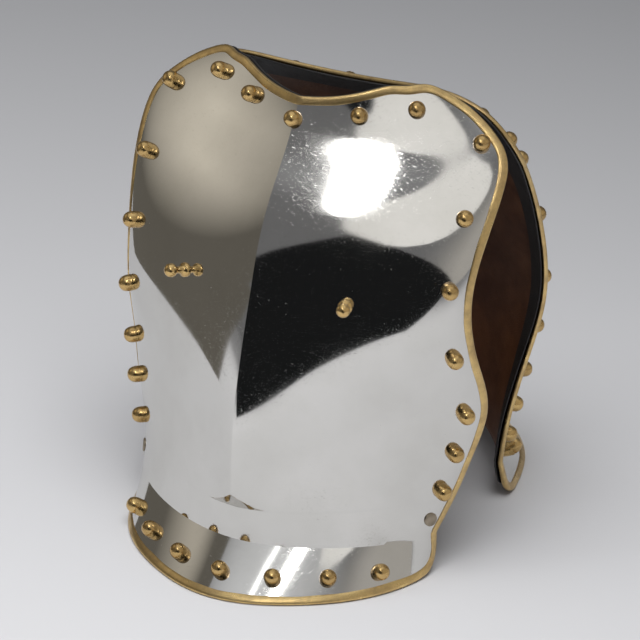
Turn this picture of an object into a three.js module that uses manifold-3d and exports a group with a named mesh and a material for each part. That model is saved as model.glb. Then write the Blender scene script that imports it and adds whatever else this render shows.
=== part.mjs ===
// A cavalry cuirass: a steel breastplate and backplate that stand on their flared waist
// flanges and lean together at the shoulders. Each plate has a folded brass edging, a
// leather lining, a black leather border and brass studs.
// Millimetres, +Z up. The breastplate faces -Y and the backplate +Y; z = 0 is the floor.
import * as THREE from "three";
import { mergeVertices } from "three/addons/utils/BufferGeometryUtils.js";
import Module from "manifold-3d";

// ---------- driving sizes ----------
const CREASE_Z = 32; // height of the fold between a plate's body and its flange
const LIFT = 2.5; // raises the plates so that the lowest brass edge stands on z = 0
const STEEL = 1.8; // plate thickness
const EDGE_GAP = 0.7; // clearance between the edging and the plate it holds
const EDGE_WALL = 0.8; // thickness of the folded brass
const EDGE_OUTER_LIP = 5.5; // width of the edging on the outside of a plate
const EDGE_INNER_LIP = 4; // width of the edging on the inside
const LINING = { depth: 2.5, thick: 1.5, inset: 6 };
const BORDER = { depth: 4.8, thick: 1.3, width: 18, over: 2.2, rimInset: 9 };
const STUD_INSET = 14; // from a plate's edge to the middle of a stud
const STUD_CLEARANCE = 0.3; // between a stud's foot and the highest steel under it
const STUD_SINK = 1.1; // of a joined stud's foot below the lowest steel under it

// ---------- forms of the two plates ----------
// A level section runs from the middle line to the side edge. mid and edge are its distances
// from the plane between the plates, half is its half width, ridge and turn are the angles
// (degrees) at the middle and at the edge, and midReach and edgeReach are shares of half.
const COLUMNS = ["z", "mid", "half", "edge", "ridge", "turn", "midReach", "edgeReach"];
const BREAST = {
  name: "breast",
  facing: -1,
  rows: [
    [32, 166, 137, 78, 0, 84, 0.47, 0.21],
    [62, 165, 146, 60, 0, 80, 0.4, 0.2],
    [92, 163.5, 155, 53, 6, 79, 0.34, 0.17],
    [132, 162, 164, 45, 12, 77, 0.33, 0.16],
    [182, 153, 161, 58, 13, 75, 0.39, 0.15],
    [242, 136, 157, 62, 13, 64, 0.43, 0.15],
    [302, 109, 163, 36, 16, 50, 0.42, 0.13],
    [347, 74, 159, 6, 18, 39, 0.43, 0.14],
    [392, 48, 130, -20, 8, 33, 0.5, 0.2],
  ],
  // share of the half width, height of the top edge there
  top: [
    [0, 376],
    [0.15, 378],
    [0.3, 384],
    [0.38, 387],
    [0.46, 387],
    [0.55, 388],
    [0.68, 380],
    [0.8, 369],
    [0.9, 361],
    [1, 358],
  ],
  // share of the half width, how far the flange flares out, share of the drop to the floor
  rim: [
    [0, 40, 1],
    [0.25, 34, 1],
    [0.5, 25, 1],
    [0.7, 14, 1],
    [0.85, 6, 0.96],
    [1, 0, 0.8],
  ],
  // height, how far the keel stands proud of the section, its half width
  keel: [
    [70, 7, 31],
    [99, 6.5, 40],
    [154, 4, 60],
    [197, 2, 75],
    [242, 0, 90],
  ],
  roundTop: [0.3, 0.1],
  roundRim: [0.15, 0.6],
};
const BACK = {
  name: "back",
  facing: 1,
  rows: [
    [32, 160, 132, 54, 0, 73, 0.5, 0.23],
    [62, 156, 136, 54, 0, 72, 0.5, 0.23],
    [92, 153, 142, 55, 0, 69, 0.5, 0.21],
    [132, 147, 151, 60, 0, 63, 0.5, 0.18],
    [182, 136, 161, 67, 0, 53, 0.5, 0.13],
    [242, 113, 161, 63, 0, 45, 0.5, 0.15],
    [302, 78, 158, 40, 0, 34, 0.5, 0.15],
    [347, 36, 156, 10, 0, 20, 0.45, 0.15],
    [392, -6, 130, 6, 0, 4, 0.45, 0.15],
  ],
  top: [
    [0, 375],
    [0.3, 377],
    [0.5, 378],
    [0.65, 375],
    [0.8, 367],
    [0.9, 359],
    [1, 350],
  ],
  rim: [
    [0, 46, 1],
    [0.5, 34, 1],
    [0.8, 14, 1],
    [1, 6, 0.95],
  ],
  keel: [],
  roundTop: [0.2, 0.1],
  roundRim: [0.15, 0.5],
};

// ---------- studs ----------
// Side studs of a plate: share of the height from the crease to the top edge.
const BREAST_SIDE = [0.94, 0.79, 0.64, 0.47, 0.31, 0.21, 0.11];
// Top studs right and left of the middle one: share of the half width, share of the height.
const BREAST_TOP = [
  [0.25, 0.955],
  [0.49, 0.955],
];
const FLANGE_STUDS = [0.19, 0.39, 0.6];
const BACK_SIDE = [0.86, 0.68, 0.5, 0.37, 0.25, 0.15, 0.06];
const BACK_TOP = [
  [0.25, 0.955],
  [0.5, 0.955],
  [0.7, 0.95],
  [0.84, 0.92],
];
const FLANGE_SHARE = -0.57; // how far down the flange its studs sit
const TOP_SHARE = 0.955;
const STUD_PROFILE = [
  [0, 0],
  [6.9, 0],
  [6.6, 5.4],
  [4.4, 9.2],
  [0, 10.6],
];
// The same, plainer, where studs are joined to their plate.
const JOINED_STUD_PROFILE = [
  [0, 0],
  [6.9, 0],
  [6, 7],
  [0, 11.7],
];
const FLAT_RIVET_PROFILE = [
  [0, 0],
  [5.6, 0],
  [5.6, 0.9],
  [0, 1.4],
];
const BUTTON_PROFILE = [
  [0, 0],
  [5.6, 0],
  [5.6, 2.2],
  [3.4, 4.2],
  [2.9, 9],
  [4.4, 11.4],
  [5.4, 14.5],
  [4.2, 18],
  [0, 19.6],
];
const CHEST_BUTTON = { share: 0.36, height: 0.57 };
const FLAT_RIVET = { height: 0.04, inset: 13 };

// ---------- meshing ----------
const COLUMNS_ACROSS = 18;
const ROWS_UP = 12;
const ROWS_FLANGE = 2;
const STUD_SIDES = 10;
const JOINED_STUD_SIDES = 6;
const PATH_POINTS = 4; // grid points on the way in from the outline
const PROBE_HEIGHT = 12; // above the plate, where the rays that seat a stud start
const STEP = 1e-3; // for slopes of the surface, in shares

const MATERIALS = {
  steel: new THREE.MeshStandardMaterial({ color: 0xc9c8c4, roughness: 0.08, metalness: 1 }),
  brass: new THREE.MeshStandardMaterial({ color: 0xb98a3c, roughness: 0.3, metalness: 1 }),
  lining: new THREE.MeshStandardMaterial({ color: 0x3a1a0a, roughness: 0.7, metalness: 0 }),
  border: new THREE.MeshStandardMaterial({ color: 0x0c0c0d, roughness: 0.6, metalness: 0 }),
  rivet: new THREE.MeshStandardMaterial({ color: 0x6d6558, roughness: 0.5, metalness: 1 }),
};

// ---------- small mathematics ----------
const clamp = (x, low, high) => Math.min(Math.max(x, low), high);
const mix = (a, b, share) => a + (b - a) * share;

// A natural cubic spline through (xs, ys), straight beyond its ends.
function spline(xs, ys) {
  const n = xs.length;
  const bend = new Array(n).fill(0);
  const carry = new Array(n).fill(0);
  for (let i = 1; i < n - 1; i++) {
    const before = xs[i] - xs[i - 1];
    const after = xs[i + 1] - xs[i];
    const slopes = (ys[i + 1] - ys[i]) / after - (ys[i] - ys[i - 1]) / before;
    const p = 2 * (before + after) - before * carry[i - 1];
    carry[i] = after / p;
    bend[i] = (6 * slopes - before * bend[i - 1]) / p;
  }
  for (let i = n - 2; i > 0; i--) bend[i] -= carry[i] * bend[i + 1];
  return (x) => {
    const t = clamp(x, xs[0], xs[n - 1]);
    let i = 0;
    while (i < n - 2 && t > xs[i + 1]) i++;
    const h = xs[i + 1] - xs[i];
    const a = (xs[i + 1] - t) / h;
    const b = (t - xs[i]) / h;
    const curve = ((a ** 3 - a) * bend[i] + (b ** 3 - b) * bend[i + 1]) * (h * h) / 6;
    const slope = (ys[i + 1] - ys[i]) / h;
    return a * ys[i] + b * ys[i + 1] + curve + slope * (x - t);
  };
}

// A spline that is level at 0, by mirroring the table about its first row.
function evenSpline(rows, column) {
  const mirrored = rows.slice(1).reverse().map((r) => [-r[0], r[column]]);
  const all = mirrored.concat(rows.map((r) => [r[0], r[column]]));
  return spline(all.map((r) => r[0]), all.map((r) => r[1]));
}

function linear(rows, column, x) {
  let i = 0;
  while (i < rows.length - 2 && x > rows[i + 1][0]) i++;
  const t = clamp((x - rows[i][0]) / (rows[i + 1][0] - rows[i][0]), 0, 1);
  return mix(rows[i][column], rows[i + 1][column], t);
}

// ---------- the surface of a plate ----------
// (u, v): u from -1 to 1 across, v from -1 at the rim to 0 at the crease and 1 at the top edge.
class Plate {
  constructor(form) {
    this.form = form;
    const zs = form.rows.map((r) => r[0]);
    this.column = {};
    COLUMNS.slice(1).forEach((name, k) => {
      this.column[name] = spline(zs, form.rows.map((r) => r[k + 1]));
    });
    this.topHeight = evenSpline(form.top, 1);
    this.flare = evenSpline(form.rim, 1);
    this.drop = evenSpline(form.rim, 2);
  }

  keel(x, z) {
    const rows = this.form.keel;
    if (!rows.length || z < rows[0][0] || z > rows[rows.length - 1][0]) return 0;
    const t = clamp(Math.abs(x) / linear(rows, 2, z), 0, 1);
    return linear(rows, 1, z) * (1 - t) ** 2;
  }

  // A level section: a cubic from the middle line to the edge.
  section(u, z) {
    const a = Math.abs(u);
    const at = (name) => this.column[name](z);
    const half = at("half");
    const mid = at("mid");
    const edge = at("edge");
    const ridge = THREE.MathUtils.degToRad(at("ridge"));
    const turn = THREE.MathUtils.degToRad(at("turn"));
    const reach = at("midReach") * half;
    const back = at("edgeReach") * half;
    const w0 = (1 - a) ** 3;
    const w1 = 3 * (1 - a) ** 2 * a;
    const w2 = 3 * (1 - a) * a * a;
    const w3 = a ** 3;
    const x = w1 * reach * Math.cos(ridge) + w2 * (half - back * Math.cos(turn)) + w3 * half;
    const nearMid = mid - reach * Math.sin(ridge);
    const nearEdge = edge + back * Math.sin(turn);
    const away = w0 * mid + w1 * nearMid + w2 * nearEdge + w3 * edge + this.keel(x, z);
    return [u < 0 ? -x : x, away];
  }

  point(u, v) {
    const top = this.topHeight(Math.abs(u));
    let z = mix(CREASE_Z, top, Math.max(v, 0));
    let [x, away] = this.section(u, z);
    if (v < 0) {
      const [x0, away0] = this.section(u - STEP, CREASE_Z);
      const [x1, away1] = this.section(u + STEP, CREASE_Z);
      const length = Math.hypot(x1 - x0, away1 - away0);
      const out = -v * this.flare(Math.abs(u));
      x -= (out * (away1 - away0)) / length;
      away += (out * (x1 - x0)) / length;
      z += v * this.drop(Math.abs(u)) * CREASE_Z;
    }
    return new THREE.Vector3(x, this.form.facing * away, z + LIFT);
  }

  // Slopes along u and v. At the crease the side of v that side names is used.
  slopes(u, v, side) {
    const low = side > 0 ? Math.max(v - STEP, 0) : v - STEP;
    const high = side < 0 ? Math.min(v + STEP, 0) : v + STEP;
    const along = this.point(u + STEP, v).sub(this.point(u - STEP, v));
    const up = this.point(u, high).sub(this.point(u, low));
    return [along.multiplyScalar(0.5 / STEP), up.multiplyScalar(1 / (high - low))];
  }

  normalOn(u, v, side) {
    const [along, up] = this.slopes(u, v, side);
    return up.cross(along).multiplyScalar(this.form.facing).normalize();
  }

  // Outward normal; at the crease it is lengthened so that offset walls keep their thickness.
  normal(u, v) {
    if (Math.abs(v) > STEP) return this.normalOn(u, v, Math.sign(v));
    const above = this.normalOn(u, 0, 1);
    const sum = above.clone().add(this.normalOn(u, 0, -1));
    return sum.multiplyScalar(1 / sum.dot(above));
  }

  offset(u, v, depth) {
    return this.point(u, v).addScaledVector(this.normal(u, v), -depth);
  }

  // (a, b) on a square to (u, v), with the plate's corners rounded.
  warp(a, b) {
    const [r, [top, flange]] = [Math.abs(a), [this.form.roundTop, this.form.roundRim]];
    const [cornerU, cornerV] = b > 0 ? top : flange;
    const p = clamp((r - 1 + cornerU) / cornerU, 0, 1);
    const q = clamp((Math.abs(b) - 1 + cornerV) / cornerV, 0, 1);
    if (p === 0 || q === 0) return [a, b];
    const u = 1 - cornerU + cornerU * p * Math.sqrt(1 - (q * q) / 2);
    const v = 1 - cornerV + cornerV * q * Math.sqrt(1 - (p * p) / 2);
    return [Math.sign(a) * u, Math.sign(b) * v];
  }

  // A place at a distance in from the outline and a depth below the outer face. It follows
  // the chords of the grid, so that every layer has facets parallel to the steel's.
  place(station, distance, depth) {
    const path = station.path;
    if (distance <= 0) {
      const p = path[0].point.clone().addScaledVector(station.inwards, distance);
      return p.addScaledVector(path[0].normal, -depth);
    }
    let k = 1;
    while (k < path.length - 1 && distance > path[k].distance) k++;
    const [from, to] = [path[k - 1], path[k]];
    const share = (distance - from.distance) / (to.distance - from.distance);
    const p = from.point.clone().lerp(to.point, share);
    return p.addScaledVector(from.normal.clone().lerp(to.normal, share), -depth);
  }
}

// ---------- grid lines and the outline ----------
function gridLines() {
  const across = [];
  for (let i = 0; i <= COLUMNS_ACROSS; i++) {
    across.push((2 * i) / COLUMNS_ACROSS - 1);
  }
  const up = [];
  for (let j = -ROWS_FLANGE; j < 0; j++) up.push(j / ROWS_FLANGE);
  for (let j = 0; j <= ROWS_UP; j++) up.push(j / ROWS_UP);
  return { across, up };
}

// Stations around the outline, one at each grid line, each with the path of grid points that
// leads inwards from it.
function outline(plate, { across, up }) {
  const [right, top] = [across.length - 1, up.length - 1];
  const starts = [];
  across.forEach((_, i) => starts.push([i, 0]));
  up.slice(1).forEach((_, j) => starts.push([right, j + 1]));
  for (let i = right - 1; i >= 0; i--) starts.push([i, top]);
  for (let j = top - 1; j > 0; j--) starts.push([0, j]);
  const stations = starts.map(([i, j]) => {
    const di = i === 0 ? 1 : i === right ? -1 : 0;
    const dj = j === 0 ? 1 : j === top ? -1 : 0;
    const path = [];
    for (let k = 0; k < PATH_POINTS; k++) {
      const [u, v] = plate.warp(across[i + k * di], up[j + k * dj]);
      const point = plate.point(u, v);
      const distance = k ? path[k - 1].distance + point.distanceTo(path[k - 1].point) : 0;
      path.push({ u, v, point, normal: plate.normal(u, v), distance });
    }
    return { i, j, path };
  });
  stations.forEach((s, k) => {
    const before = stations.at(k - 1).path[0].point;
    const after = stations[(k + 1) % stations.length].path[0].point;
    const along = after.clone().sub(before);
    const square = s.path[0].normal.clone().cross(along);
    s.inwards = square.multiplyScalar(-plate.form.facing).normalize();
  });
  return stations;
}

// ---------- closed meshes ----------
function closedGeometry(points, faces) {
  const volume = faces.reduce((sum, [a, b, c]) => {
    return sum + points[a].dot(points[b].clone().cross(points[c]));
  }, 0);
  const index = faces.flatMap(([a, b, c]) => (volume > 0 ? [a, b, c] : [a, c, b]));
  const geometry = new THREE.BufferGeometry();
  geometry.setFromPoints(points).setIndex(index);
  geometry.computeVertexNormals();
  return geometry;
}

// A wall between two grids of points of the same size.
function wall(outer, inner) {
  const rows = outer.length;
  const columns = outer[0].length;
  const points = outer.flat().concat(inner.flat());
  const id = (layer, j, i) => (layer * rows + j) * columns + i;
  const faces = [];
  const quad = (a, b, c, d) => faces.push([a, b, c], [a, c, d]);
  for (let j = 0; j < rows - 1; j++) {
    for (let i = 0; i < columns - 1; i++) {
      quad(id(0, j, i), id(0, j, i + 1), id(0, j + 1, i + 1), id(0, j + 1, i));
      quad(id(1, j, i), id(1, j + 1, i), id(1, j + 1, i + 1), id(1, j, i + 1));
    }
  }
  for (let i = 0; i < columns - 1; i++) {
    quad(id(0, 0, i), id(1, 0, i), id(1, 0, i + 1), id(0, 0, i + 1));
    quad(id(0, rows - 1, i), id(0, rows - 1, i + 1), id(1, rows - 1, i + 1), id(1, rows - 1, i));
  }
  for (let j = 0; j < rows - 1; j++) {
    quad(id(0, j, 0), id(0, j + 1, 0), id(1, j + 1, 0), id(1, j, 0));
    const last = columns - 1;
    quad(id(0, j, last), id(1, j, last), id(1, j + 1, last), id(0, j + 1, last));
  }
  return closedGeometry(points, faces);
}

// A closed loop of one closed section.
function loop(sections) {
  const n = sections.length;
  const m = sections[0].length;
  const id = (i, k) => (i % n) * m + (k % m);
  const faces = [];
  for (let i = 0; i < n; i++) {
    for (let k = 0; k < m; k++) {
      faces.push([id(i, k), id(i + 1, k), id(i + 1, k + 1)]);
      faces.push([id(i, k), id(i + 1, k + 1), id(i, k + 1)]);
    }
  }
  return closedGeometry(sections.flat(), faces);
}

// ---------- sub-parts ----------
function steelWall(plate, lines) {
  const skin = (depth) => lines.up.map((b) => {
    return lines.across.map((a) => plate.offset(...plate.warp(a, b), depth));
  });
  return wall(skin(0), skin(STEEL));
}

function liningWall(plate, lines, stations) {
  const ends = new Map(stations.map((s) => [s.i + " " + s.j, s]));
  const skin = (depth) => lines.up.map((b, j) => lines.across.map((a, i) => {
    const station = ends.get(i + " " + j);
    return station ? plate.place(station, LINING.inset, depth) : plate.offset(...plate.warp(a, b), depth);
  }));
  return wall(skin(LINING.depth), skin(LINING.depth + LINING.thick));
}

// The edging's lowest points are pressed flat on the floor.
function edgingLoop(plate, stations) {
  const out = -EDGE_GAP - EDGE_WALL;
  const inside = STEEL + EDGE_GAP;
  const under = inside + EDGE_WALL;
  const profile = [
    [EDGE_OUTER_LIP, out],
    [-0.7, out],
    [out, 2.2],
    [-0.3, under],
    [EDGE_INNER_LIP, under],
    [EDGE_INNER_LIP, inside],
    [-EDGE_GAP, inside],
    [-EDGE_GAP, -EDGE_GAP],
    [EDGE_OUTER_LIP, -EDGE_GAP],
  ];
  return loop(stations.map((s) => profile.map(([distance, depth]) => {
    const p = plate.place(s, distance, depth);
    return p.setZ(Math.max(p.z, 0));
  })));
}

function borderLoop(plate, stations) {
  return loop(stations.map((s) => {
    const onRim = clamp((-s.path[0].v - 0.55) / 0.4, 0, 1);
    const from = mix(-BORDER.over, BORDER.rimInset, onRim);
    const to = BORDER.width + onRim;
    const bend = clamp(s.path[1].distance, from + 3, to - 3);
    const deep = BORDER.depth + BORDER.thick;
    const ring = [from, bend, to].map((d) => plate.place(s, d, BORDER.depth));
    return ring.concat([to, bend, from].map((d) => plate.place(s, d, deep)));
  }));
}

function turned(profile, sides) {
  const geometry = new THREE.LatheGeometry(profile.map(([r, h]) => new THREE.Vector2(r, h)), sides);
  geometry.rotateX(Math.PI / 2); // its axis, +Y, to +Z
  return geometry;
}

// Stands a turned piece on the steel, its axis along the plate's normal. Rays from its foot
// find the highest facet under it, or the lowest when it is to be joined to the steel.
function standOn(object, plate, steel, u, v, footRadius, sunk = false) {
  const normal = plate.normal(u, v);
  object.quaternion.setFromUnitVectors(new THREE.Vector3(0, 0, 1), normal);
  const start = plate.point(u, v).addScaledVector(normal, PROBE_HEIGHT);
  const reaches = [];
  for (let k = 0; k <= STUD_SIDES; k++) {
    const spread = k ? footRadius : 0;
    const turn = (k / STUD_SIDES) * 2 * Math.PI;
    const foot = new THREE.Vector3(spread * Math.sin(turn), spread * Math.cos(turn), 0);
    foot.applyQuaternion(object.quaternion).add(start);
    const ray = new THREE.Raycaster(foot, normal.clone().negate());
    ray.intersectObject(steel).slice(0, 1).forEach((hit) => reaches.push(hit.distance));
  }
  const reach = sunk ? Math.max(...reaches) + STUD_SINK : Math.min(...reaches) - STUD_CLEARANCE;
  object.position.copy(start).addScaledVector(normal, -reach);
  return object;
}

// (u, v) at a distance in from the side edge, at the height share v.
function besideEdge(plate, side, v, distance) {
  const length = plate.point(side, v).distanceTo(plate.point(side * (1 - 0.02), v)) / 0.02;
  return [side * (1 - distance / length), v];
}

function mesh(name, geometry, material) {
  const made = new THREE.Mesh(geometry, material);
  made.name = name;
  return made;
}

function studPlaces(name, plate) {
  const isBreast = name === "breast";
  const places = [[name + "_stud_top_0", 0, TOP_SHARE]];
  for (const [letter, side] of [["r", -1], ["l", 1]]) {
    (isBreast ? BREAST_TOP : BACK_TOP).forEach(([share, height], k) => {
      places.push([`${name}_stud_top_${letter}${k + 1}`, side * share, height]);
    });
    (isBreast ? BREAST_SIDE : BACK_SIDE).forEach((share, k) => {
      places.push([`${name}_stud_side_${letter}${k + 1}`, ...besideEdge(plate, side, share, STUD_INSET)]);
    });
    FLANGE_STUDS.forEach((share, k) => {
      places.push([`${name}_stud_flange_${letter}${k + 1}`, side * share, FLANGE_SHARE]);
    });
  }
  places.push([name + "_stud_flange_0", 0, FLANGE_SHARE]);
  return places;
}

// ---------- joining with manifold-3d ----------
const wasm = await Module();
wasm.setup();

function solidOf(object) {
  object.updateMatrixWorld(true);
  const geometry = object.geometry.clone().applyMatrix4(object.matrixWorld);
  geometry.deleteAttribute("normal");
  geometry.deleteAttribute("uv");
  const merged = mergeVertices(geometry, 1e-3);
  return new wasm.Manifold(new wasm.Mesh({
    numProp: 3,
    vertProperties: merged.attributes.position.array,
    triVerts: new Uint32Array(merged.index.array),
  }));
}

function joined(name, base, added, material) {
  const solid = added.reduce((sum, piece) => sum.add(solidOf(piece)), solidOf(base));
  const result = solid.getMesh();
  const geometry = new THREE.BufferGeometry();
  geometry.setAttribute("position", new THREE.BufferAttribute(result.vertProperties, 3));
  geometry.setIndex(new THREE.BufferAttribute(result.triVerts, 1));
  geometry.computeVertexNormals();
  return mesh(name, geometry, material);
}

// ---------- assembly ----------
function plateGroup(form) {
  const plate = new Plate(form);
  const lines = gridLines();
  const stations = outline(plate, lines);
  const group = new THREE.Group();
  const isBreast = form.name === "breast";
  const studs = studPlaces(form.name, plate);
  const apart = studs.filter(([name]) => isBreast || name.includes("_top_"));
  const fused = studs.filter((s) => !apart.includes(s));
  const steel = mesh(form.name + "plate", steelWall(plate, lines), MATERIALS.steel);
  const footRadius = STUD_PROFILE[1][0];
  const fusedMeshes = fused.map(([name, u, v]) => {
    const stud = mesh(name, turned(JOINED_STUD_PROFILE, JOINED_STUD_SIDES), MATERIALS.brass);
    return standOn(stud, plate, steel, u, v, footRadius, true);
  });
  group.add(fused.length ? joined(steel.name, steel, fusedMeshes, MATERIALS.steel) : steel);
  group.add(mesh(form.name + "_edging", edgingLoop(plate, stations), MATERIALS.brass));
  group.add(mesh(form.name + "_lining", liningWall(plate, lines, stations), MATERIALS.lining));
  group.add(mesh(form.name + "_border", borderLoop(plate, stations), MATERIALS.border));
  for (const [name, u, v] of apart) {
    const stud = mesh(name, turned(STUD_PROFILE, STUD_SIDES), MATERIALS.brass);
    group.add(standOn(stud, plate, steel, u, v, footRadius));
  }
  if (isBreast) addBreastFittings(group, plate, steel);
  return group;
}

// The two chest buttons and the flat rivet low on each side.
function addBreastFittings(group, plate, steel) {
  for (const [letter, side] of [["r", -1], ["l", 1]]) {
    const button = mesh("chest_button_" + letter, turned(BUTTON_PROFILE, STUD_SIDES), MATERIALS.brass);
    const { share, height } = CHEST_BUTTON;
    group.add(standOn(button, plate, steel, side * share, height, BUTTON_PROFILE[1][0]));
    const rivet = mesh("flat_rivet_" + letter, turned(FLAT_RIVET_PROFILE, STUD_SIDES), MATERIALS.rivet);
    const at = besideEdge(plate, side, FLAT_RIVET.height, FLAT_RIVET.inset);
    group.add(standOn(rivet, plate, steel, ...at, FLAT_RIVET_PROFILE[1][0]));
  }
}

const cuirass = new THREE.Group();
cuirass.name = "cuirass";
cuirass.add(plateGroup(BREAST), plateGroup(BACK));
export default cuirass;
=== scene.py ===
import math
import bpy
import numpy as np
from mathutils import Matrix, Vector


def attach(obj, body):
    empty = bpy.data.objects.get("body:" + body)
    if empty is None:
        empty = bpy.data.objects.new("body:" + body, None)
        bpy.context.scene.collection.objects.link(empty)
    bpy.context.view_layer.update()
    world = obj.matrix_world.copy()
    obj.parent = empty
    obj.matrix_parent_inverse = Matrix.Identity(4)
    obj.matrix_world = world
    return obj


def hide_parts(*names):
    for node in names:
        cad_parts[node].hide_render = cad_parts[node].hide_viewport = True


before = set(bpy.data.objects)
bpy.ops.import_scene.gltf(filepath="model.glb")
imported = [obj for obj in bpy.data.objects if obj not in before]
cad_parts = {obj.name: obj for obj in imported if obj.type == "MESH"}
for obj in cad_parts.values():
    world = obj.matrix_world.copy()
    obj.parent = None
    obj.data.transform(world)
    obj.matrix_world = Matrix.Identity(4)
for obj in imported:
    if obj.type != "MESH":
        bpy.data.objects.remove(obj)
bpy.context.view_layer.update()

# ---------------------------------------------------------------- sizes, in millimetres
CREASE_Z = 32.0
LIFT = 2.5
STEEL = 1.8
FACET_FOOT, FACET_RUN = 61.0, 2.0
LINING = dict(depth=2.5, thick=1.5, inset=6.0)
BORDER = dict(depth=4.8, thick=1.3, width=18.0, over=2.2, rim_inset=9.0)
STUD_INSET = 14.0
RIDGE_ROUND = 1.2

NAMES = ("z", "mid", "half", "edge", "ridge", "turn", "mid_reach", "edge_reach")
BREAST = dict(
    name="breast", facing=-1,
    rows=[
        (32, 166, 137, 78, 0, 84, 0.47, 0.21),
        (62, 165, 146, 60, 0, 80, 0.40, 0.20),
        (92, 163.5, 155, 53, 6, 79, 0.34, 0.17),
        (132, 162, 164, 45, 12, 77, 0.33, 0.16),
        (182, 153, 161, 58, 13, 75, 0.39, 0.15),
        (242, 136, 157, 62, 13, 64, 0.43, 0.15),
        (302, 109, 163, 36, 16, 50, 0.42, 0.13),
        (347, 74, 159, 6, 18, 39, 0.43, 0.14),
        (392, 48, 130, -20, 8, 33, 0.50, 0.20),
    ],
    top=[(0, 376), (0.15, 378), (0.3, 384), (0.38, 387), (0.46, 387), (0.55, 388),
         (0.68, 380), (0.8, 369), (0.9, 361), (1, 358)],
    rim=[(0, 40, 1), (0.25, 34, 1), (0.5, 25, 1), (0.7, 14, 1), (0.85, 6, 0.96), (1, 0, 0.8)],
    keel=[(61, 7, 31), (99, 6.5, 40), (154, 4, 60), (197, 2, 75), (242, 0, 90)],
    round_top=(0.3, 0.1), round_rim=(0.15, 0.6),
    top_studs=[(0.25, 0.955), (0.49, 0.955)],
    side_studs=[0.94, 0.79, 0.64, 0.47, 0.31, 0.21, 0.11],
)
BACK = dict(
    name="back", facing=1,
    rows=[
        (32, 160, 132, 54, 0, 73, 0.50, 0.23),
        (62, 156, 136, 54, 0, 72, 0.50, 0.23),
        (92, 153, 142, 55, 0, 69, 0.50, 0.21),
        (132, 147, 151, 60, 0, 63, 0.50, 0.18),
        (182, 136, 161, 67, 0, 53, 0.50, 0.13),
        (242, 113, 161, 63, 0, 45, 0.50, 0.15),
        (302, 78, 158, 40, 0, 34, 0.50, 0.15),
        (347, 36, 156, 10, 0, 20, 0.45, 0.15),
        (392, -6, 130, 6, 0, 4, 0.45, 0.15),
    ],
    top=[(0, 375), (0.3, 377), (0.5, 378), (0.65, 375), (0.8, 367), (0.9, 359), (1, 350)],
    rim=[(0, 46, 1), (0.5, 34, 1), (0.8, 14, 1), (1, 6, 0.95)],
    keel=[],
    round_top=(0.2, 0.1), round_rim=(0.15, 0.5),
    top_studs=[(0.25, 0.955), (0.5, 0.955), (0.7, 0.95), (0.84, 0.92)],
    side_studs=[0.86, 0.68, 0.5, 0.37, 0.25, 0.15, 0.06],
)
FLANGE_STUDS = (0.19, 0.39, 0.6)
FLANGE_SHARE, TOP_SHARE = -0.57, 0.955
STUD_PROFILE = [(6.7, -0.6), (6.9, 0.2), (6.95, 2.5), (6.8, 4.6), (6.35, 6.4), (5.6, 8.0),
                (4.5, 9.3), (3.1, 10.2), (1.5, 10.65), (0, 10.75)]
BUTTON_PROFILE = [(5.9, -0.4), (5.9, 1.2), (5.3, 2.2), (3.9, 2.9), (3.1, 4.2), (2.8, 7.0), (2.9, 9.6),
                  (3.5, 10.6), (4.7, 11.6), (5.5, 13.3), (5.6, 15.2), (5.0, 17.2), (3.6, 18.8),
                  (1.9, 19.6), (0, 19.9)]
RIVET_PROFILE = [(5.7, -0.3), (5.7, 0.7), (5.2, 1.1), (3.0, 1.35), (0, 1.45)]

FINE = 1.0
COLS, ROWS, FLANGE_ROWS = int(220 * FINE), int(170 * FINE), int(30 * FINE)
EPS = 1e-3


# ---------------------------------------------------------------- the plates' surfaces
def spline(xs, ys):
    """A natural cubic spline, straight beyond its ends."""
    xs, ys = np.asarray(xs, float), np.asarray(ys, float)
    n, h = len(xs), np.diff(xs)
    a, r = np.eye(n), np.zeros(n)
    for i in range(1, n - 1):
        a[i, i - 1:i + 2] = h[i - 1], 2 * (h[i - 1] + h[i]), h[i]
        r[i] = 6 * ((ys[i + 1] - ys[i]) / h[i] - (ys[i] - ys[i - 1]) / h[i - 1])
    m = np.linalg.solve(a, r)

    def at(x):
        t = np.clip(x, xs[0], xs[-1])
        i = np.clip(np.searchsorted(xs, t, side="right") - 1, 0, n - 2)
        p, q = (xs[i + 1] - t) / h[i], (t - xs[i]) / h[i]
        bend = ((p ** 3 - p) * m[i] + (q ** 3 - q) * m[i + 1]) * h[i] ** 2 / 6
        return p * ys[i] + q * ys[i + 1] + bend + (ys[i + 1] - ys[i]) / h[i] * (x - t)
    return at


def even_spline(rows, k):
    rows = [(-r[0], r[k]) for r in rows[:0:-1]] + [(r[0], r[k]) for r in rows]
    return spline(*zip(*rows))


def unit(v):
    return v / np.linalg.norm(v, axis=-1, keepdims=True)


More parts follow.
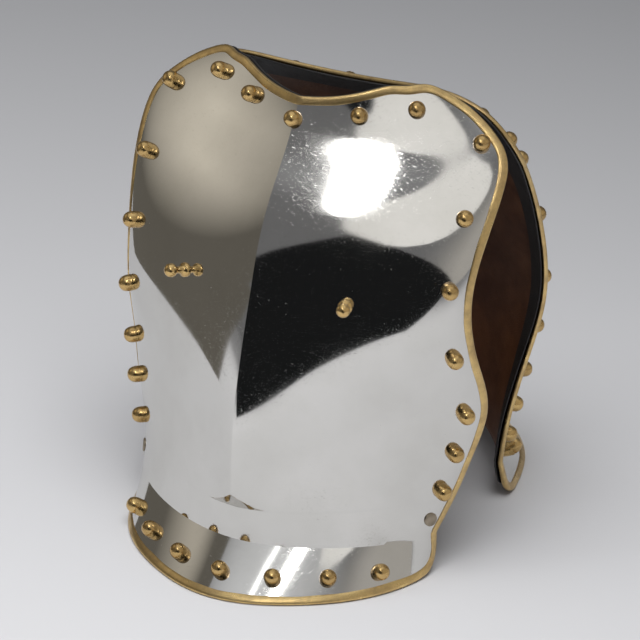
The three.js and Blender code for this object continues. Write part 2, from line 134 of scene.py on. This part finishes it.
class Plate:
    """(u, v): u -1..1 across, v -1 at the rim, 0 at the crease, 1 at the top edge."""

    def __init__(self, form):
        self.form, self.facing = form, form["facing"]
        rows = np.array(form["rows"], float)
        self.col = {n: spline(rows[:, 0], rows[:, k + 1]) for k, n in enumerate(NAMES[1:])}
        self.top = even_spline(form["top"], 1)
        self.flare, self.drop = even_spline(form["rim"], 1), even_spline(form["rim"], 2)
        self.keel_rows = np.array(form["keel"], float) if form["keel"] else None

    def keel(self, x, z):
        if self.keel_rows is None:
            return 0.0
        k = self.keel_rows
        x = np.sqrt(x * x + RIDGE_ROUND ** 2) - RIDGE_ROUND
        t = np.clip(x / np.interp(z, k[:, 0], k[:, 2]), 0, 1)
        proud = np.interp(z, k[:, 0], k[:, 1]) * (1 - t) ** 2
        facet = np.clip((z - FACET_FOOT) / FACET_RUN, 0, None)
        return (proud + facet - np.sqrt((proud - facet) ** 2 + 0.02)) / 2 + 0.07

    def section(self, u, z):
        a = np.abs(u)
        c = {n: f(z) for n, f in self.col.items()}
        ridge, turn = np.radians(c["ridge"]), np.radians(c["turn"])
        reach, back = c["mid_reach"] * c["half"], c["edge_reach"] * c["half"]
        w0, w1, w2, w3 = (1 - a) ** 3, 3 * (1 - a) ** 2 * a, 3 * (1 - a) * a * a, a ** 3
        x = w1 * reach * np.cos(ridge) + w2 * (c["half"] - back * np.cos(turn)) + w3 * c["half"]
        near = c["mid"] - reach * np.sin(ridge)
        away = w0 * c["mid"] + w1 * near + w2 * (c["edge"] + back * np.sin(turn)) + w3 * c["edge"]
        return np.sign(u) * x, away + self.keel(x, z)

    def point(self, u, v):
        u, v = np.broadcast_arrays(np.asarray(u, float), np.asarray(v, float))
        z = CREASE_Z + np.maximum(v, 0) * (self.top(np.abs(u)) - CREASE_Z)
        x, away = self.section(u, z)
        crease = np.full_like(z, CREASE_Z)
        x0, a0 = self.section(u - EPS, crease)
        x1, a1 = self.section(u + EPS, crease)
        length = np.hypot(x1 - x0, a1 - a0)
        w = np.maximum(-v, 0)
        out = w * self.flare(np.abs(u))
        x = x - out * (a1 - a0) / length
        away = away + out * (x1 - x0) / length
        z = z - w * self.drop(np.abs(u)) * CREASE_Z
        return np.stack([x, self.facing * away, z + LIFT], -1)

    def slopes(self, u, v, side):
        low = np.where(side > 0, np.maximum(v - EPS, 0), v - EPS)
        high = np.where(side < 0, np.minimum(v + EPS, 0), v + EPS)
        along = (self.point(u + EPS, v) - self.point(u - EPS, v)) / (2 * EPS)
        up = (self.point(u, high) - self.point(u, low)) / (high - low)[..., None]
        return along, up

    def normal(self, u, v, side=None):
        u, v = np.broadcast_arrays(np.asarray(u, float), np.asarray(v, float))
        if side is None:
            above = self.normal(u, v, 1)
            below = self.normal(u, v, -1)
            both = above + below
            both = both / np.maximum(np.sum(both * above, -1, keepdims=True), 0.3)
            near = np.abs(v)[..., None] < EPS
            return np.where(near, both, np.where(v[..., None] > 0, above, below))
        along, up = self.slopes(u, v, np.full(u.shape, side))
        return unit(np.cross(up, along) * self.facing)

    def warp(self, a, b):
        a, b = np.broadcast_arrays(np.asarray(a, float), np.asarray(b, float))
        u, v = np.abs(a), b.copy()
        for (cu, cv), end in ((self.form["round_top"], 1), (self.form["round_rim"], -1)):
            p = np.clip((np.abs(a) - 1 + cu) / cu, 0, 1)
            q = np.clip((b * end - 1 + cv) / cv, 0, 1)
            on = (p > 0) & (q > 0)
            u = np.where(on, 1 - cu + cu * p * np.sqrt(1 - q * q / 2), u)
            v = np.where(on, end * (1 - cv + cv * q * np.sqrt(1 - p * p / 2)), v)
        return np.where(a < 0, -u, u), v

    def outline(self, spacing):
        """Stations along the outline, evenly spaced, with frames: point, normal, inwards."""
        n = 1500
        t = np.linspace(-1, 1, n, endpoint=False)
        a = np.concatenate([t, np.ones(n), -t, -np.ones(n)])
        b = np.concatenate([-np.ones(n), t, np.ones(n), -t])
        u, v = self.warp(a, b)
        p = self.point(u, v)
        run = np.concatenate([[0], np.cumsum(np.linalg.norm(np.diff(p, axis=0, append=p[:1]), axis=1))])
        count = int(run[-1] / spacing)
        want = np.arange(count) * run[-1] / count
        u = np.interp(want, run, np.append(u, u[0]))
        v = np.interp(want, run, np.append(v, v[0]))
        p = self.point(u, v)
        nrm = self.normal(u, v)
        along = np.roll(p, -1, 0) - np.roll(p, 1, 0)
        nrm_unit = unit(nrm)
        inwards = unit(np.cross(nrm_unit, along) * -self.facing)
        return dict(u=u, v=v, p=p, n=nrm, inwards=inwards, run=want)

    def walk(self, st, distance, steps=6):
        """From each station inwards over the surface."""
        u, v = st["u"].copy(), st["v"].copy()
        side = np.where(v >= 0, 1, -1)
        for _ in range(steps):
            along, up = self.slopes(u, v, side)
            way = st["inwards"] * (distance / steps)[:, None]
            aa, ab, bb = (np.sum(x * y, -1) for x, y in ((along, along), (along, up), (up, up)))
            wa, wb = np.sum(way * along, -1), np.sum(way * up, -1)
            det = aa * bb - ab * ab
            u = u + (wa * bb - wb * ab) / det
            v = v + (wb * aa - wa * ab) / det
        return u, v

    def place(self, st, distance, depth):
        """A ring of points at a distance in from the outline and a depth below the outer face."""
        d = np.broadcast_to(np.asarray(distance, float), st["u"].shape)
        u, v = self.walk(st, np.maximum(d, 0))
        p = self.point(u, v) + np.minimum(d, 0)[:, None] * st["inwards"]
        n = self.normal(u, v)
        return p - n * np.broadcast_to(np.asarray(depth, float), d.shape)[:, None]


# ---------------------------------------------------------------- meshes
def new_object(name, verts, faces, material, smooth=True, sharp_angle=None):
    mesh = bpy.data.meshes.new(name)
    mesh.from_pydata((np.asarray(verts) / 1000).tolist(), [], faces)
    mesh.update()
    if smooth:
        mesh.shade_smooth()
        if sharp_angle:
            mesh.set_sharp_from_angle(angle=math.radians(sharp_angle))
    mesh.materials.append(material)
    obj = bpy.data.objects.new(name, mesh)
    bpy.context.scene.collection.objects.link(obj)
    return obj


def grid_faces(rows, cols, offset=0, flip=False):
    faces = []
    for j in range(rows - 1):
        for i in range(cols - 1):
            q = (j * cols + i, j * cols + i + 1, (j + 1) * cols + i + 1, (j + 1) * cols + i)
            q = tuple(k + offset for k in q)
            faces.append(q[::-1] if flip else q)
    return faces


def sweep(rings, closed_profile, flip):
    """rings: (profile, stations, 3); the stations close on themselves."""
    m, n = len(rings), len(rings[0])
    verts = np.asarray(rings).reshape(-1, 3)
    faces = []
    for k in range(m if closed_profile else m - 1):
        for i in range(n):
            q = (k * n + i, k * n + (i + 1) % n, (k + 1) % m * n + (i + 1) % n, (k + 1) % m * n + i)
            faces.append(q[::-1] if flip else q)
    return verts, faces


def turned(profile, sides):
    """A lathe shape about +Z; the profile ends on the axis."""
    rings = profile[:-1]
    verts = [(r * math.cos(2 * math.pi * k / sides), r * math.sin(2 * math.pi * k / sides), h)
             for r, h in rings for k in range(sides)]
    verts.append((0, 0, profile[-1][1]))
    faces = []
    for j in range(len(rings)):
        for k in range(sides):
            a, b = j * sides + k, j * sides + (k + 1) % sides
            if j < len(rings) - 1:
                faces.append((a, b, b + sides, a + sides))
            else:
                faces.append((a, b, len(verts) - 1))
    return verts, faces


# ---------------------------------------------------------------- materials
def material(name):
    mat = bpy.data.materials.new(name)
    mat.use_nodes = True
    tree = mat.node_tree
    return mat, tree, tree.nodes["Principled BSDF"]


def node(tree, kind, **values):
    made = tree.nodes.new(kind)
    for key, value in values.items():
        if hasattr(made, key):
            setattr(made, key, value)
        else:
            made.inputs[key.replace("_", " ")].default_value = value
    return made


def mapped(tree, scale=(1, 1, 1), turn=(0, 0, 0)):
    place = node(tree, "ShaderNodeTexCoord")
    move = node(tree, "ShaderNodeMapping")
    move.inputs["Scale"].default_value = scale
    move.inputs["Rotation"].default_value = turn
    tree.links.new(place.outputs["Object"], move.inputs["Vector"])
    return move.outputs["Vector"]


def noise(tree, vector, scale, detail=3.0, rough=0.5, distort=0.0):
    made = node(tree, "ShaderNodeTexNoise")
    for key, value in (("Scale", scale), ("Detail", detail), ("Roughness", rough), ("Distortion", distort)):
        made.inputs[key].default_value = value
    tree.links.new(vector, made.inputs["Vector"])
    return made.outputs["Fac"]


def remap(tree, value, low, high, to_low, to_high):
    made = node(tree, "ShaderNodeMapRange")
    tree.links.new(value, made.inputs["Value"])
    for key, number in (("From Min", low), ("From Max", high), ("To Min", to_low), ("To Max", to_high)):
        made.inputs[key].default_value = number
    return made.outputs["Result"]


def maths(tree, operation, a, b):
    made = node(tree, "ShaderNodeMath", operation=operation)
    for socket, value in zip(made.inputs, (a, b)):
        if isinstance(value, (int, float)):
            socket.default_value = value
        else:
            tree.links.new(value, socket)
    return made.outputs["Value"]


def blend(tree, share, a, b):
    made = node(tree, "ShaderNodeMix", data_type="RGBA")
    tree.links.new(share, made.inputs["Factor"])
    for key, value in ((6, a), (7, b)):
        if isinstance(value, tuple):
            made.inputs[key].default_value = (*value, 1)
        else:
            tree.links.new(value, made.inputs[key])
    return made.outputs[2]


def bump(tree, height, strength, distance, under=None):
    made = node(tree, "ShaderNodeBump")
    made.inputs["Strength"].default_value = strength
    made.inputs["Distance"].default_value = distance
    tree.links.new(height, made.inputs["Height"])
    if under is not None:
        tree.links.new(under, made.inputs["Normal"])
    return made.outputs["Normal"]


def scratches(tree, turn, long, fine, cut):
    """Thin lines in one direction: noise stretched along it, kept where it peaks."""
    value = noise(tree, mapped(tree, (long, fine, fine), turn), 1.0, 2.0, 0.6)
    return remap(tree, value, cut, cut + 0.05, 0.0, 1.0)


def steel_material():
    mat, tree, bsdf = material("polished_steel")
    link = tree.links.new
    dull = noise(tree, mapped(tree), 14.0, 5.0, 0.6)
    lines = scratches(tree, (0.3, 0.2, 0.5), 14, 900, 0.67)
    for turn in ((1.2, 0.4, 1.9), (0.1, 1.4, 2.6), (2.2, 0.9, 0.4)):
        lines = maths(tree, "MAXIMUM", lines, scratches(tree, turn, 18, 800, 0.68))
    specks = remap(tree, noise(tree, mapped(tree), 620.0, 2.0, 0.5), 0.68, 0.74, 0.0, 1.0)
    rough = maths(tree, "ADD", remap(tree, dull, 0.35, 0.7, 0.045, 0.10), maths(tree, "MULTIPLY", lines, 0.14))
    rough = maths(tree, "ADD", rough, maths(tree, "MULTIPLY", specks, 0.18))
    link(rough, bsdf.inputs["Roughness"])
    tint = blend(tree, remap(tree, dull, 0.4, 0.7, 0.0, 1.0), (0.70, 0.69, 0.665), (0.64, 0.63, 0.60))
    link(tint, bsdf.inputs["Base Color"])
    bsdf.inputs["Metallic"].default_value = 1.0
    waves = bump(tree, noise(tree, mapped(tree), 16.0, 1.0, 0.4), 1.0, 0.00012)
    link(bump(tree, maths(tree, "ADD", lines, specks), 0.08, 0.00004, waves), bsdf.inputs["Normal"])
    return mat


def brass_material(name, bright, dark, rough):
    mat, tree, bsdf = material(name)
    link = tree.links.new
    tone = noise(tree, mapped(tree), 90.0, 5.0, 0.65)
    each = node(tree, "ShaderNodeObjectInfo").outputs["Random"]
    share = remap(tree, maths(tree, "ADD", tone, maths(tree, "MULTIPLY", each, 0.22)), 0.42, 0.9, 0.0, 1.0)
    link(blend(tree, share, bright, dark), bsdf.inputs["Base Color"])
    bsdf.inputs["Metallic"].default_value = 1.0
    link(remap(tree, tone, 0.3, 0.7, rough - 0.07, rough + 0.1), bsdf.inputs["Roughness"])
    fine = noise(tree, mapped(tree), 900.0, 3.0, 0.6)
    link(bump(tree, fine, 0.12, 0.0002), bsdf.inputs["Normal"])
    return mat


def leather_material(name, light, dark, rough, grain):
    mat, tree, bsdf = material(name)
    link = tree.links.new
    patch = noise(tree, mapped(tree), 22.0, 6.0, 0.65)
    link(blend(tree, remap(tree, patch, 0.35, 0.68, 0.0, 1.0), light, dark), bsdf.inputs["Base Color"])
    link(remap(tree, patch, 0.3, 0.7, rough - 0.08, rough + 0.1), bsdf.inputs["Roughness"])
    cells = node(tree, "ShaderNodeTexVoronoi", feature="F1")
    cells.inputs["Scale"].default_value = grain
    link(mapped(tree), cells.inputs["Vector"])
    creases = bump(tree, noise(tree, mapped(tree), 60.0, 5.0, 0.7, 0.6), 0.5, 0.0008)
    link(bump(tree, cells.outputs["Distance"], 0.35, 0.0004, creases), bsdf.inputs["Normal"])
    return mat


STEEL_MAT = steel_material()
BRASS_MAT = brass_material("worn_brass", (0.72, 0.50, 0.21), (0.42, 0.27, 0.11), 0.24)
EDGE_MAT = brass_material("edging_brass", (0.82, 0.60, 0.26), (0.46, 0.32, 0.16), 0.32)
LINING_MAT = leather_material("brown_leather", (0.15, 0.052, 0.014), (0.07, 0.022, 0.007), 0.5, 700.0)
BORDER_MAT = leather_material("black_leather", (0.012, 0.012, 0.013), (0.022, 0.021, 0.021), 0.55, 900.0)
RIVET_MAT = brass_material("dull_rivet", (0.42, 0.36, 0.28), (0.25, 0.21, 0.16), 0.42)


# ---------------------------------------------------------------- the object
def declare(obj, slot, *nodes):
    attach(obj, "root")
    if nodes:
        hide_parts(*nodes)
    return obj


def spread(parts):
    """Grid lines from (start, stop, count) stretches."""
    return np.unique(np.concatenate([np.linspace(a, b, max(int(n * FINE), 3)) for a, b, n in parts]))


def steel_plate(plate):
    half = spread([(0, 0.17, 34), (0.17, 0.8, 50), (0.8, 1, 24)])
    across = np.concatenate([-half[:0:-1], half])
    body = spread([(0, 0.07, 12), (0.07, 0.15, 34), (0.15, 0.9, 92), (0.9, 1, 18)])
    up = np.concatenate([np.linspace(-1, 0, max(int(26 * FINE), 6))[:-1], body])
    a, b = np.meshgrid(across, up)
    u, v = plate.warp(a, b)
    outer = plate.point(u, v)
    a2, b2 = np.meshgrid(across[::4], np.concatenate([np.linspace(-1, 0, 8)[:-1], np.linspace(0, 1, 50)]))
    u2, v2 = plate.warp(a2, b2)
    inner = plate.point(u2, v2) - STEEL * plate.normal(u2, v2)
    flip = plate.facing > 0
    faces = grid_faces(*outer.shape[:2], flip=flip)
    faces += grid_faces(*inner.shape[:2], offset=outer.shape[0] * outer.shape[1], flip=not flip)
    verts = np.concatenate([outer.reshape(-1, 3), inner.reshape(-1, 3)])
    name = plate.form["name"] + "plate"
    return declare(new_object(name + "_steel", verts, faces, STEEL_MAT, sharp_angle=14), "steel", name)


def edging(plate):
    st = plate.outline(2.6)
    ripple = sum(np.sin(st["run"] / w + k) for k, w in enumerate((9.0, 17.0, 31.0, 5.3))) * 0.13
    profile = [(5.6, -0.02), (5.5, -0.45), (4.9, -0.75), (3.2, -0.95), (1.2, -1.05), (-0.3, -1.0), (-1.1, -0.6),
               (-1.5, 0.2), (-1.55, 1.2), (-1.4, 2.4), (-0.9, 3.0), (0.2, 3.3), (2.6, 3.3), (4.0, 3.1),
               (4.0, 2.0), (-0.3, 1.9), (-0.3, -0.1)]
    rings = []
    for k, (distance, depth) in enumerate(profile):
        wide = ripple if k < 3 or 12 <= k <= 14 else 0.0
        ring = plate.place(st, distance + wide + np.zeros_like(st["run"]), depth)
        ring[:, 2] = np.maximum(ring[:, 2], 0.0)
        rings.append(ring)
    verts, faces = sweep(rings, True, plate.facing > 0)
    name = plate.form["name"] + "_edging"
    return declare(new_object(name + "_brass", verts, faces, EDGE_MAT, sharp_angle=40), "brass", name)


def border(plate):
    st = plate.outline(3.4)
    on_rim = np.clip((-st["v"] - 0.55) / 0.4, 0, 1)
    edge = -BORDER["over"] + (BORDER["rim_inset"] + BORDER["over"]) * on_rim
    wave = sum(np.sin(st["run"] / w + k) for k, w in enumerate((13.0, 29.0, 7.0))) * 0.12
    d0, d1 = BORDER["depth"], BORDER["depth"] + BORDER["thick"]
    stops = [(0.0, 0.3, d0), (0.0, 0.0, (d0 + d1) / 2), (0.0, 0.4, d1 - 0.1), (0.1, 0, d1), (0.5, 0, d1),
             (0.9, 0, d1), (1.0, -0.3, d1 - 0.1), (1.0, 0.0, (d0 + d1) / 2), (1.0, -0.3, d0), (0.5, 0, d0)]
    rings = []
    for share, shift, depth in stops:
        distance = edge + wave + (BORDER["width"] - edge) * share + shift
        rings.append(plate.place(st, distance, depth))
    verts, faces = sweep(rings, True, plate.facing > 0)
    name = plate.form["name"] + "_border"
    return declare(new_object(name + "_leather", verts, faces, BORDER_MAT, sharp_angle=50), "border", name)


def lining(plate):
    a, b = np.meshgrid(np.linspace(-0.93, 0.93, int(110 * FINE)),
                       np.concatenate([np.linspace(-0.86, 0, 12)[:-1], np.linspace(0, 0.982, int(100 * FINE))]))
    u, v = plate.warp(a, b)
    p, n = plate.point(u, v), plate.normal(u, v)
    outer, inner = p - LINING["depth"] * n, p - (LINING["depth"] + LINING["thick"]) * n
    flip = plate.facing > 0
    faces = grid_faces(*a.shape, flip=flip) + grid_faces(*a.shape, offset=a.size, flip=not flip)
    verts = np.concatenate([outer.reshape(-1, 3), inner.reshape(-1, 3)])
    name = plate.form["name"] + "_lining"
    return declare(new_object(name + "_leather", verts, faces, LINING_MAT), "lining", name)


def beside_edge(plate, side, v, distance):
    step = np.linalg.norm(plate.point(side, v) - plate.point(side * 0.98, v)) / 0.02
    return side * (1 - distance / step), v


def stud_places(plate):
    name = plate.form["name"]
    places = [(name + "_stud_top_0", 0.0, TOP_SHARE), (name + "_stud_flange_0", 0.0, FLANGE_SHARE)]
    for letter, side in (("r", -1), ("l", 1)):
        for k, (share, height) in enumerate(plate.form["top_studs"]):
            places.append((f"{name}_stud_top_{letter}{k + 1}", side * share, height))
        for k, share in enumerate(plate.form["side_studs"]):
            places.append((f"{name}_stud_side_{letter}{k + 1}", *beside_edge(plate, side, share, STUD_INSET)))
        for k, share in enumerate(FLANGE_STUDS):
            places.append((f"{name}_stud_flange_{letter}{k + 1}", side * share, FLANGE_SHARE))
    return places


def stand(mesh, name, plate, u, v, spin, slot):
    obj = bpy.data.objects.new(name + "_fine", mesh)
    bpy.context.scene.collection.objects.link(obj)
    at, n = plate.point(u, v) / 1000, Vector(unit(plate.normal(u, v)))
    turn = n.to_track_quat("Z", "Y").to_matrix().to_4x4()
    obj.matrix_world = Matrix.Translation(at) @ turn @ Matrix.Rotation(spin, 4, "Z")
    bpy.context.view_layer.update()
    return declare(obj, slot, *([name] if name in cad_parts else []))


def lathe_mesh(name, profile, mat):
    verts, faces = turned(profile, 40)
    obj = new_object(name, verts, faces, mat, sharp_angle=50)
    mesh = obj.data
    bpy.data.objects.remove(obj)
    return mesh


stud_mesh = lathe_mesh("stud", STUD_PROFILE, BRASS_MAT)
button_mesh = lathe_mesh("button", BUTTON_PROFILE, BRASS_MAT)
rivet_mesh = lathe_mesh("rivet", RIVET_PROFILE, RIVET_MAT)
plates = {form["name"]: Plate(form) for form in (BREAST, BACK)}
for plate in plates.values():
    steel_plate(plate)
    edging(plate)
    border(plate)
    lining(plate)
    for k, (name, u, v) in enumerate(stud_places(plate)):
        stand(stud_mesh, name, plate, u, v, k * 0.7, "brass")
breast = plates["breast"]
for letter, side in (("r", -1), ("l", 1)):
    stand(button_mesh, "chest_button_" + letter, breast, side * 0.36, 0.57, 0.0, "brass")
    u, v = beside_edge(breast, side, 0.04, 13)
    stand(rivet_mesh, "flat_rivet_" + letter, breast, u, v, 0.0, "rivet")


# ---------------------------------------------------------------- stage
def emitter(name, color, strength):
    mat = bpy.data.materials.new(name)
    mat.use_nodes = True
    tree = mat.node_tree
    tree.nodes.clear()
    glow = node(tree, "ShaderNodeEmission")
    glow.inputs["Color"].default_value = (*color, 1)
    glow.inputs["Strength"].default_value = strength
    out = node(tree, "ShaderNodeOutputMaterial")
    tree.links.new(glow.outputs[0], out.inputs["Surface"])
    return mat


def card(name, at, toward, size, sides, color, strength, turn=0.0):
    """A glowing card seen only in reflections."""
    ring = [(size[0] * math.cos(t), size[1] * math.sin(t), 0)
            for t in (2 * math.pi * k / sides + math.pi / sides for k in range(sides))]
    obj = new_object(name, np.array(ring) * 1000, [tuple(range(sides))], emitter(name, color, strength), smooth=False)
    look = (Vector(toward) - Vector(at)).to_track_quat("Z", "Y").to_matrix().to_4x4()
    obj.matrix_world = Matrix.Translation(at) @ look @ Matrix.Rotation(turn, 4, "Z")
    obj.visible_camera = obj.visible_diffuse = obj.visible_shadow = False
    obj.visible_transmission = obj.visible_volume_scatter = False
    return obj


def area(name, at, toward, size, energy, color=(1, 1, 1)):
    """A soft light that isn't seen in reflections."""
    data = bpy.data.lights.new(name, "AREA")
    data.shape, data.size, data.size_y = "RECTANGLE", size[0], size[1]
    data.energy, data.color = energy, color
    obj = bpy.data.objects.new(name, data)
    bpy.context.scene.collection.objects.link(obj)
    turn = (Vector(at) - Vector(toward)).to_track_quat("Z", "Y").to_matrix().to_4x4()
    obj.matrix_world = Matrix.Translation(at) @ turn
    obj.visible_glossy = False
    return obj


floor_mat, floor_tree, floor_bsdf = material("pale_paper_painted_falloff")
along = node(floor_tree, "ShaderNodeSeparateXYZ")
floor_tree.links.new(mapped(floor_tree), along.inputs["Vector"])
# painted shade: the floor colour darkens from front to back, standing in for the light falling off with distance
painted_falloff_share = remap(floor_tree, along.outputs["Y"], -0.7, 1.3, 0.0, 1.0)
floor_tree.links.new(blend(floor_tree, painted_falloff_share, (0.62, 0.62, 0.635), (0.31, 0.313, 0.325)),
                     floor_bsdf.inputs["Base Color"])
floor_bsdf.inputs["Roughness"].default_value = 0.75
floor = new_object("floor", [(-9000, -9000, 0), (9000, -9000, 0), (9000, 9000, 0), (-9000, 9000, 0)],
                   [(0, 1, 2, 3)], floor_mat, smooth=False)

world = bpy.data.worlds.new("studio")
bpy.context.scene.world = world
world.use_nodes = True
sky = world.node_tree
direction = node(sky, "ShaderNodeTexCoord").outputs["Generated"]
split = node(sky, "ShaderNodeSeparateXYZ")
sky.links.new(direction, split.inputs["Vector"])
high = node(sky, "ShaderNodeMapRange", interpolation_type="SMOOTHSTEP")
sky.links.new(split.outputs["Z"], high.inputs["Value"])
high.inputs["From Min"].default_value, high.inputs["From Max"].default_value = 0.72, 0.95
side = node(sky, "ShaderNodeMapRange", interpolation_type="SMOOTHSTEP")
sky.links.new(split.outputs["X"], side.inputs["Value"])
side.inputs["From Min"].default_value, side.inputs["From Max"].default_value = 0.40, 0.75
base = blend(sky, side.outputs["Result"], (0.17, 0.17, 0.175), (0.46, 0.44, 0.41))
whole = blend(sky, high.outputs["Result"], base, (0.75, 0.76, 0.78))
sky.links.new(whole, sky.nodes["Background"].inputs["Color"])
sky.nodes["Background"].inputs["Strength"].default_value = 1.0

area("top_soft", (0.3, -0.7, 2.2), (0, 0, 0.1), (1.6, 1.6), 52)
area("left_soft", (-1.8, -1.2, 1.4), (0, 0, 0.2), (1.2, 1.2), 14)
card("octagon", (0.262, -1.06, 1.55), (0.063, -0.073, 0.322), (0.082, 0.265), 8, (1, 1, 1), 12)
card("streak", (-0.02, -0.75, 1.35), (0.01, -0.09, 0.32), (0.03, 0.3), 4, (1, 1, 1), 3, math.pi / 4)
card("right_white", (0.75, -1.35, 1.45), (0.11, -0.03, 0.35), (0.42, 0.42), 16, (1, 0.985, 0.96), 0.95)
card("dark_front", (0.36, -0.98, 0.34), (0.05, -0.12, 0.34), (0.62, 0.5), 4, (0.9, 0.95, 1), 0.012, math.pi / 4)
left = card("left_wall", (-0.68, -0.2, 0.6), (0.0, -0.1, 0.6), (0.75, 0.85), 4, (0.5, 0.46, 0.39), 0.25, math.pi / 4)
glow_tree = left.active_material.node_tree
spot = node(glow_tree, "ShaderNodeTexGradient", gradient_type="SPHERICAL")
glow_tree.links.new(mapped(glow_tree, (3.0, 3.0, 3.0)), spot.inputs["Vector"])
shine = remap(glow_tree, spot.outputs["Fac"], 0.0, 1.0, 0.27, 1.5)
glow_tree.links.new(shine, glow_tree.nodes["Emission"].inputs["Strength"])

az, el = math.radians(28.669), math.radians(25.7)
back_dir = Vector((math.sin(az) * math.cos(el), -math.cos(az) * math.cos(el), math.sin(el)))
right_dir = Vector((math.cos(az), math.sin(az), 0))
up_dir = back_dir.cross(right_dir)
camera_data = bpy.data.cameras.new("camera")
camera_data.lens, camera_data.sensor_width = 188.4, 36.0
camera_data.clip_end = 50
camera = bpy.data.objects.new("camera", camera_data)
bpy.context.scene.collection.objects.link(camera)
camera.matrix_world = Matrix.Translation((1.1923, -2.2031, 1.3656)) @ Matrix(
    (right_dir, up_dir, back_dir)).transposed().to_4x4()
bpy.context.scene.camera = camera
bpy.context.scene.view_settings.view_transform = "Standard"
